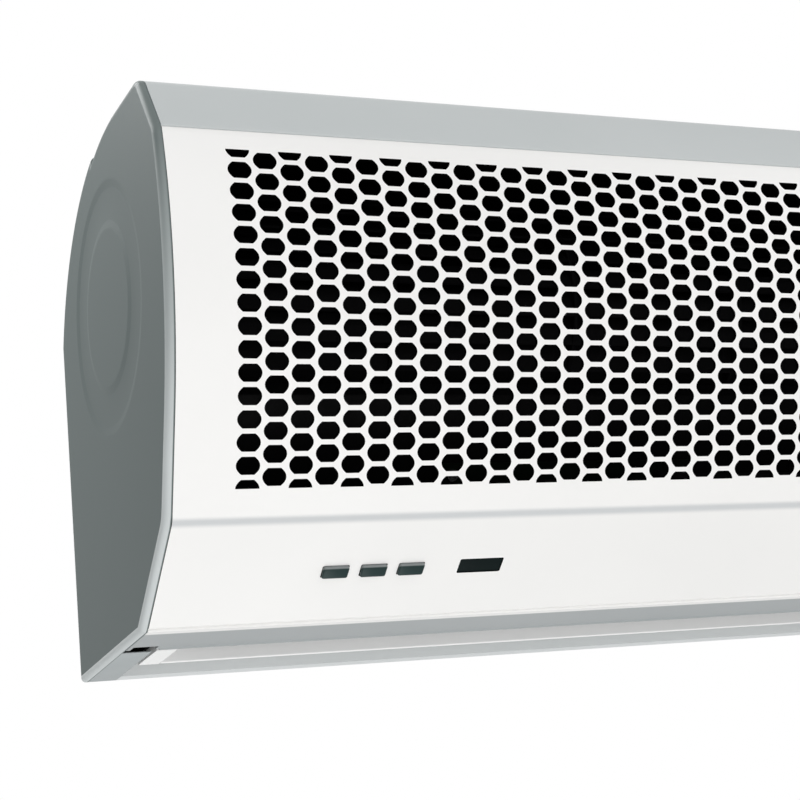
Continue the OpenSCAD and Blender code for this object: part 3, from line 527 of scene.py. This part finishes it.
# ---- top cover ----
# Folded painted steel over the top: a leaning strip above the seam, a rounded
# corner and a crown that ends at a small step. Its screws are countersunk.
steel_grey = finish("steel_grey", tone(201, 205, 205), tone(195, 200, 200), 0.42, 7, 1400, 0.1,
                    coat=0.05)
casing_h = 230
cover_lean = radians(35)
corner_r = 8
crown_c = (-113.5, 109)
crown_r = 121
crown_step = 69.94
back_c = (-104.5, 119)
back_r = 111
cover_tail = (-72, -66, -60)


def arc(centre, r, start, end, steps):
    """Points on an arc, with its angles in degrees."""
    angles = [radians(start + (end - start) * i / steps) for i in range(steps + 1)]
    return [(centre[0] + r * cos(a), centre[1] + r * sin(a)) for a in angles]


def back_at(y, deep):
    """The height of the rounded back at y, a depth inside it."""
    return back_c[1] + sqrt((back_r - deep) ** 2 - (y - back_c[0]) ** 2)


def edge_at(name, start):
    """A straight edge along the casing, ready to be drawn out into a sheet."""
    deselect()
    bpy.ops.mesh.primitive_plane_add(size=2 * sheet_end * mm)
    piece = bpy.context.object
    piece.name = name
    bpy.ops.object.mode_set(mode="EDIT")
    pick(lambda p: p.y < 0, "VERT")
    bpy.ops.mesh.delete(type="VERT")
    bpy.ops.mesh.select_all(action="SELECT")
    bpy.ops.transform.translate(value=spot(*start) - Vector((0, sheet_end * mm, 0)))
    return piece


def folded_sheet(name, path, towards, paint):
    """A sheet drawn out along a path, with its thickness on the side of a point."""
    piece = edge_at(name, path[0])
    draw_out(path)
    face_one_way()
    bpy.ops.object.mode_set(mode="OBJECT")
    face = max(piece.data.polygons, key=lambda f: f.area)
    faces_away = face.normal.dot(spot(*towards) - face.center * Vector((0, 1, 1))) < 0
    piece.data.materials.append(paint)
    piece.data.materials.append(painted_shade_black)
    # The sheet's inner side is painted black as painted shade.
    use(piece, "SOLIDIFY", thickness=sheet_t * mm, offset=-1 if faces_away else 1,
        use_even_offset=True, material_offset=1)
    return piece


def ease_edges(piece, width, segments, angle):
    """Rounds the edges that are sharper than an angle."""
    use(piece, "BEVEL", width=width * mm, segments=segments, limit_method="ANGLE",
        angle_limit=radians(angle))


corner_up = (casing_h - corner_r - seam_z + corner_r * sin(cover_lean)) / cos(cover_lean)
corner_c = (seam[0] + corner_r * cos(cover_lean) + corner_up * sin(cover_lean),
            seam[1] - corner_r * sin(cover_lean) + corner_up * cos(cover_lean))
corner_path = arc(corner_c, corner_r, 145, 90, 8)
seam_top = (seam[0], seam[1] + 0.1)
cover_flange = (seam_top[0] + top_flange, seam_top[1])
cover_path = ([cover_flange] + rounded(cover_flange, seam_top, corner_path[0], 0.8, 3)
              + corner_path + arc(crown_c, crown_r, 90, crown_step, 12)
              + [(y, back_at(y, sheet_t + 0.1)) for y in cover_tail])
top_cover = folded_sheet("top_cover_sheet", cover_path, (-100, 150), steel_grey)
screw_x = 429.5
screw_hole_r = 2.1
countersinks = []
for x in (-screw_x, screw_x):
    for y in (-134, -118):
        deselect()
        bpy.ops.mesh.primitive_cone_add(
            vertices=32, radius1=screw_hole_r * mm, radius2=3.6 * mm, depth=sheet_t * 1.1 * mm,
            location=spot(y, casing_h - sheet_t * 0.5) + Vector((x * mm, 0, 0)))
        countersinks.append(bpy.context.object)
cut_out(top_cover, *countersinks)
ease_edges(top_cover, 0.25, 2, 50)
smooth(top_cover, 32)
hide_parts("top_cover")
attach(top_cover, "casing")

# ---- rear shell ----
# The same painted steel, bent round the back and down to the outlet. Slots let
# it drop over the wall bracket's hooks, and the mains cord comes in at one end.
back_top = 72.98
shell_y = -4
shell_path = [(shell_y, 2.72)] + arc(back_c, back_r, 25.12, back_top, 26)
rear_shell = folded_sheet("rear_shell_sheet", shell_path, (-80, 120), steel_grey)
hook_x = 300
grommet_x, grommet_z = -443.5, 140
tool_depth = 6
openings = []
for x in (-hook_x, 0, hook_x):
    place = Matrix.Translation(spot(shell_y - sheet_t / 2, 105.05) + Vector((x * mm, 0, 0)))
    facing_wall = place @ Matrix.Rotation(pi / 2, 4, "X")
    openings.append(block("hook_slot", 32, 14.1, tool_depth, facing_wall, 1.5))
holes = [(grommet_x, grommet_z, 5)] + [(x, z, screw_hole_r) for x in (-screw_x, screw_x)
                                       for z in (40, 120)]
for x, z, r in holes:
    deselect()
    bpy.ops.mesh.primitive_cylinder_add(
        vertices=40, radius=r * mm, depth=tool_depth * mm, rotation=(pi / 2, 0, 0),
        location=spot(shell_y - sheet_t / 2, z) + Vector((x * mm, 0, 0)))
    bpy.ops.object.transform_apply()
    openings.append(bpy.context.object)
cut_out(rear_shell, *openings)
ease_edges(rear_shell, 0.25, 2, 50)
smooth(rear_shell, 32)
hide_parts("rear_shell")
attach(rear_shell, "casing")

# ---- end caps ----
# Each is one moulded piece: a face with a shallow round groove opposite the fan, a
# rounded, lighter edge that is painted darker towards the top as painted shade, a grey
# joint line, and a foot that closes the outlet's end.
rim_grey = finish("rim_grey", tone(203, 208, 208), tone(197, 202, 202), 0.45, 12, 1100, 0.15,
                  shine=0.3)
joint_grey = finish("joint_grey", tone(118, 126, 125), tone(112, 121, 120), 0.6, 12, 1100, 0.1,
                    shine=0.1)
foot_grey = finish("foot_grey", tone(172, 178, 179), tone(166, 172, 173), 0.5, 8, 1500, 0.2)
face_grey = finish("face_grey", tone(80, 91, 90), tone(76, 88, 87), 0.5, 8, 1500, 0.2, shine=0.25)


def blend(material, colour, axis, low, high, shine=None):
    """Blends a finish into another colour and shine along an axis, from low to high."""
    tree = material.node_tree
    place = tree.nodes.new("ShaderNodeTexCoord")
    along = tree.nodes.new("ShaderNodeSeparateXYZ")
    reach = tree.nodes.new("ShaderNodeMapRange")
    reach.inputs["From Min"].default_value = low * mm
    reach.inputs["From Max"].default_value = high * mm
    link(tree, (place.outputs["Object"], along.inputs[0]),
         (along.outputs[axis], reach.inputs["Value"]))
    tint(material, reach.outputs["Result"], colour)
    if shine is not None:
        shader = tree.nodes["Principled BSDF"]
        fade = tree.nodes.new("ShaderNodeMapRange")
        fade.inputs["To Min"].default_value = 0.5
        fade.inputs["To Max"].default_value = shine
        link(tree, (reach.outputs["Result"], fade.inputs["Value"]),
             (fade.outputs["Result"], shader.inputs["Specular IOR Level"]))


# Painted shade: the rim's grey darkens towards the top, where the rounded edge would catch the
# lamps
blend(rim_grey, tone(108, 117, 116), "Z", -14, 112)
cap_t = 3.5
cap_bevel = 2.5
joint_w = 0.5
fan_c = (-85, 152)
# The groove's rings: the distance of each from the fan's axis, and its depth
groove = [(56.2, 0), (55.2, 0), (54.4, 0.05), (51.8, 0.5), (51.0, 0.55), (37.8, 0.55),
          (37.0, 0.5), (34.4, 0.05), (33.6, 0), (32.6, 0)]
outline = ([(0, 0)] + arc(back_c, back_r, 19.72, back_top, 22)
           + arc(crown_c, crown_r, crown_step, 90, 9) + list(reversed(corner_path))
           + [front_at(bow_length * k / 30) for k in range(30, -1, -1)]
           + rounded(bow_end, crease, lip, 16, 8) + rounded(crease, lip, (0, 0), 4, 4))
rise = tan(bottom_slope)
foot_outline = [(0, 0), (0, 12), (-2, 12), (-2, 2 * rise + 2), (-56, 56 * rise + 2),
                (-62, 62 * rise + 0.5), (-62, 62 * rise)]


def plate(name, points, x0, x1):
    """A flat plate with an outline, from x0 to x1: its points are joined one by one."""
    piece = edge_at(name, points[0])
    pick(lambda p: p.x > 0, "VERT")
    bpy.ops.mesh.delete(type="VERT")
    bpy.ops.mesh.select_mode(type="VERT")
    bpy.ops.mesh.select_all(action="SELECT")
    draw_out(points + points[:1])
    bpy.ops.mesh.select_all(action="SELECT")
    bpy.ops.mesh.remove_doubles(threshold=0.001 * mm)
    bpy.ops.mesh.edge_face_add()
    bpy.ops.transform.translate(value=((x0 + sheet_end) * mm, 0, 0))
    extrude(((x1 - x0) * mm, 0, 0))
    return piece


def end_cap(name, side):
    """A cap on the left (-1) or the right (1)."""
    cap = plate(name, outline, side * half, side * (half + cap_t - cap_bevel))
    for paint in (rim_grey, face_grey, joint_grey):
        cap.data.materials.append(paint)
    bpy.ops.mesh.select_mode(type="FACE")
    bpy.ops.mesh.select_all(action="SELECT")
    bpy.ops.mesh.bisect(plane_co=(side * (half + joint_w) * mm, 0, 0), plane_no=(1, 0, 0))
    face_one_way()
    # The rounded edge is drawn in from the outer face, step by step
    mesh = bmesh.from_edit_mesh(cap.data)
    outer = max(mesh.faces, key=lambda f: f.calc_center_median().x * side)
    bpy.ops.mesh.select_all(action="DESELECT")
    outer.select = True
    mesh.faces.active = outer
    bmesh.update_edit_mesh(cap.data)
    steps = 5
    for k in range(steps):
        a, b = radians(90 * k / steps), radians(90 * (k + 1) / steps)
        bpy.ops.mesh.inset(thickness=cap_bevel * (cos(a) - cos(b)) * mm,
                           depth=cap_bevel * (sin(b) - sin(a)) * mm)
    bpy.ops.mesh.inset(thickness=0.5 * mm, depth=0)
    cap.active_material_index = 1
    bpy.ops.object.material_slot_assign()
    bpy.ops.mesh.delete(type="ONLY_FACE")
    # The groove is drawn in ring by ring, and the face is filled round it
    middle = spot(*fan_c) + Vector((side * (half + cap_t) * mm, 0, 0))
    bpy.ops.mesh.select_mode(type="EDGE")
    bpy.ops.mesh.select_all(action="DESELECT")
    bpy.ops.mesh.primitive_circle_add(vertices=96, radius=groove[0][0] * mm, location=middle,
                                      rotation=(0, pi / 2, 0))
    for (r0, d0), (r1, d1) in zip(groove, groove[1:]):
        extrude((-side * (d1 - d0) * mm, 0, 0))
        stretch((1, r1 / r0, r1 / r0), middle)
    bpy.ops.mesh.edge_face_add()
    bpy.ops.mesh.select_all(action="DESELECT")
    bpy.ops.mesh.select_non_manifold()
    bpy.ops.mesh.fill(use_beauty=True)
    face_one_way()
    bpy.ops.object.mode_set(mode="OBJECT")
    for face in cap.data.polygons:
        from_fan = hypot(face.center.y - middle.y, face.center.z - middle.z)
        out = abs(face.center.x) / mm - half
        flat = abs(face.normal.x) > 0.999 and out > cap_t - 0.01
        if flat or from_fan < (groove[0][0] + 0.1) * mm and out > 1:
            face.material_index = 1
        elif out < joint_w - 0.01:
            face.material_index = 2
    foot = plate("foot", foot_outline, side * (half + 0.3), side * 437)
    foot.data.materials.append(foot_grey)
    face_one_way()
    bpy.ops.object.mode_set(mode="OBJECT")
    ease_edges(foot, 0.4, 2, 40)
    join(cap, foot)
    smooth(cap, 35)
    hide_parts("left_end_cap" if side < 0 else "right_end_cap")
    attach(cap, "casing")


end_cap("left_cap", -1)
end_cap("right_cap", 1)

# ---- buttons ----
# Three push buttons of dark plastic with a painted highlight along their upper edge,
# in openings in the strip. A collar behind the strip stops each, and a stem reaches its switch.
button_w, button_h, button_deep = 11.4, 5.9, 4.5
button_out = 1.5
collar_t = 0.9
collar_out = -2.55
button_grey = finish("button_grey", tone(34, 54, 53), tone(28, 46, 45), 0.25, 60, 1600, 0.15,
                     shine=0.22)
# Painted highlight: a paler band along each button's upper edge
highlight_edge = max((on_strip(0, button_down, button_out) @ Vector((0, y * mm, 0))).z
                 for y in (-button_h / 2, button_h / 2)) / mm
blend(button_grey, tone(126, 131, 131), "Z", highlight_edge - 0.35, highlight_edge + 0.1)


def push_button(name, node, body, x):
    """A button with its collar and its stem, at x along the strip."""
    piece = block(name, button_w, button_h, button_deep,
                  on_strip(x, button_down, button_out - button_deep / 2), 0.9)
    ease_edges(piece, 0.7, 3, 60)
    collar = block("collar", 13.7, 7.2, collar_t, on_strip(x, button_down, collar_out), 0.5)
    deselect()
    bpy.ops.mesh.primitive_cylinder_add(vertices=24, radius=1.5 * mm, depth=3.2 * mm)
    stem = bpy.context.object
    stem.matrix_world = on_strip(x, button_down, -4.4)
    bpy.ops.object.transform_apply()
    join(piece, stem, collar)
    piece.data.materials.append(button_grey)
    smooth(piece, 40)
    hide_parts(node)
    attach(piece, body)


for name, x in zip(("high", "low", "off"), button_x):
    push_button(name + "_push", name + "_button", name + "_button", x)

# ---- infrared window ----
# A dark tinted pane flush in its opening, with a flange behind the strip and
# the receiver's lens close behind it.
window_black = finish("window_black", tone(12, 25, 25), tone(9, 20, 20), 0.5, 40, 1200, 0.03,
                      shine=0.08)
window = block("window_pane", 20.2, 7.5, 2.7, on_strip(window_x, button_down, -1.65), 0.6)
ease_edges(window, 0.3, 2, 60)
flange = block("flange", 23.5, 10.2, collar_t, on_strip(window_x, button_down, collar_out), 0.5)
join(window, flange)
window.data.materials.append(window_black)
smooth(window, 40)
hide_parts("infrared_window")
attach(window, "casing")

# ---- cable grommet ----
# A black rubber ring in the shell's hole, turned with a rounded lip on each side.
# It keeps the sheet's edge off the cord.
rubber = finish("rubber", tone(32, 32, 33), tone(26, 26, 27), 0.7, 80, 2500, 0.3)
grommet_c = spot(shell_y, grommet_z) + Vector((grommet_x * mm, 0, 0))
# The ring's section: the distance from its axis, and the place behind the sheet's face
ring = [(3.2, -2.2), (3.2, 1.6), (3.4, 1.8), (5.6, 1.8), (6, 1.5), (6, 0.4), (5.6, 0.05),
        (4.95, 0.05), (4.95, -1.25), (5.6, -1.25), (6, -1.6), (6, -2.7), (5.6, -3.05),
        (3.4, -3.05), (3.2, -2.85)]
deselect()
bpy.ops.mesh.primitive_circle_add(vertices=40, radius=ring[0][0] * mm, rotation=(pi / 2, 0, 0),
                                  location=grommet_c + Vector((0, ring[0][1] * mm, 0)))
grommet = bpy.context.object
grommet.name = "grommet_ring"
bpy.ops.object.transform_apply()
bpy.ops.object.mode_set(mode="EDIT")
bpy.ops.mesh.select_all(action="SELECT")
for (r0, y0), (r1, y1) in zip(ring, ring[1:] + ring[:1]):
    extrude((0, (y1 - y0) * mm, 0))
    stretch((r1 / r0, 1, r1 / r0), grommet_c)
bpy.ops.mesh.select_all(action="SELECT")
bpy.ops.mesh.remove_doubles(threshold=0.01 * mm)
face_one_way()
bpy.ops.object.mode_set(mode="OBJECT")
grommet.data.materials.append(rubber)
smooth(grommet, 50)
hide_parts("cable_grommet")
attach(grommet, "casing")

# ---- wall bracket and frames ----
# The bracket is zinc-plated steel with the soft spangle and dull shine of the
# plating. The frames inside are painted black as painted shade, so that nothing shows in the holes.


def dress(paint, *nodes):
    """Gives CAD nodes a finish."""
    for node in nodes:
        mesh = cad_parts[node].data
        mesh.materials.clear()
        mesh.materials.append(paint)


zinc = finish("zinc_plate", tone(178, 182, 186), tone(160, 165, 170), 0.38, 45, 700, 0.15,
              metallic=0.85)
black_steel = finish("black_steel", tone(12, 12, 13), tone(9, 9, 10), 0.7, 30, 900, 0.2, shine=0.03)
dress(zinc, "wall_bracket")
dress(black_steel, "left_end_frame", "right_end_frame", "left_motor_frame", "right_motor_frame",
      "capacitor_clip")

# ---- outlet ----
# The strip under the hem runs into the nozzle's front wall; the scroll runs
# down into its rear wall and a pale lip. Both are the casing's grey steel: the strip's
# copy is painted darker as painted shade and the scroll's lighter as painted light,
# and above the outlet both turn black as painted shade for the casing's dark inside.
outlet_shade_black = tone(8, 8, 9)
shade_from, shade_to = -57, -51
# Painted shade: a darker copy of the casing's grey steel for the strip that faces down
shaded_strip = finish("two_tone_steel", tone(171, 175, 176), tone(165, 170, 171), 0.42, 7, 1400, 0.1,
                  coat=0.05)
blend(shaded_strip, tone(243, 242, 240), "Y", -98.5, -99)
blend(shaded_strip, outlet_shade_black, "Z", shade_from, shade_to, shine=0.03)
# Painted light: a lighter copy of the casing's grey steel for the scroll's rear wall and lip
lit_scroll_paint = finish("lit_scroll_paint", tone(221, 224, 224), tone(216, 220, 220), 0.42, 7, 1400, 0.1,
                      coat=0.05)
blend(lit_scroll_paint, outlet_shade_black, "Z", shade_from, shade_to, shine=0.03)
dress(shaded_strip, "outlet_front_wall")
dress(lit_scroll_paint, "scroll_wall")

# ---- vane ----
# A long white plastic blade along the outlet, which turns the air in or out. It
# tilts on a steel pin at each end, in a bracket of the same white plastic.
vane_white = finish("vane_white", tone(250, 250, 249), tone(247, 247, 246), 0.42, 10, 1000, 0.12)
dress(vane_white, "deflector_vane", "left_vane_bracket", "right_vane_bracket")

# ---- fan ----
# Two black wheels on one shaft, with the motor between them, in bronze bearings
# set in rubber rings. The shaft, the vane's pins and all screws are plain steel.
# The wheels are black plastic; they, the motor and its core are painted near black as painted shade
# for the casing's dark inside
fan_black = finish("fan_black", tone(12, 12, 13), tone(9, 9, 10), 0.7, 30, 900, 0.2, shine=0.03)
motor_steel = finish("motor_steel", tone(13, 13, 14), tone(10, 10, 11), 0.6, 30, 900, 0.2,
                     shine=0.05)
iron = finish("core_iron", tone(17, 15, 14), tone(12, 11, 10), 0.6, 90, 1500, 0.4, shine=0.05)
bright = finish("bright_steel", tone(196, 198, 200), tone(182, 184, 187), 0.25, 50, 1500, 0.08,
                metallic=0.95)
bronze = finish("bronze", tone(168, 122, 72), tone(146, 104, 60), 0.4, 60, 1200, 0.1, metallic=0.9)
dress(fan_black, "left_impeller", "right_impeller")
dress(motor_steel, "motor_housing", "motor_rotor")
dress(iron, "motor_stator")
dress(bright, "motor_shaft", "vane_pins", "hub_screws", "end_cap_screws", "cover_screws",
      "shell_screws", "panel_screws", "board_screws")
dress(bronze, "motor_bushes", "left_bearing", "right_bearing")
dress(rubber, "motor_cushions", "left_bearing_cushion", "right_bearing_cushion")

# ---- electrics ----
# Lacquered boards with their relays, transformer and switches, and beside them the
# capacitor, the terminal block and the leads, all inside the casing and painted near black as
# painted shade.
board_green = finish("board_green", tone(9, 16, 11), tone(7, 12, 8), 0.5, 120, 900, 0.1, shine=0.03)
black_plastic = finish("black_plastic", tone(12, 12, 13), tone(9, 9, 10), 0.6, 60, 1200, 0.15,
                       shine=0.03)
dress(board_green, "button_board", "control_board")
dress(iron, "transformer")
dress(black_plastic, "button_switches", "infrared_receiver", "relays", "mains_lead", "motor_lead",
      "button_lead", "board_posts", "run_capacitor", "terminal_block")
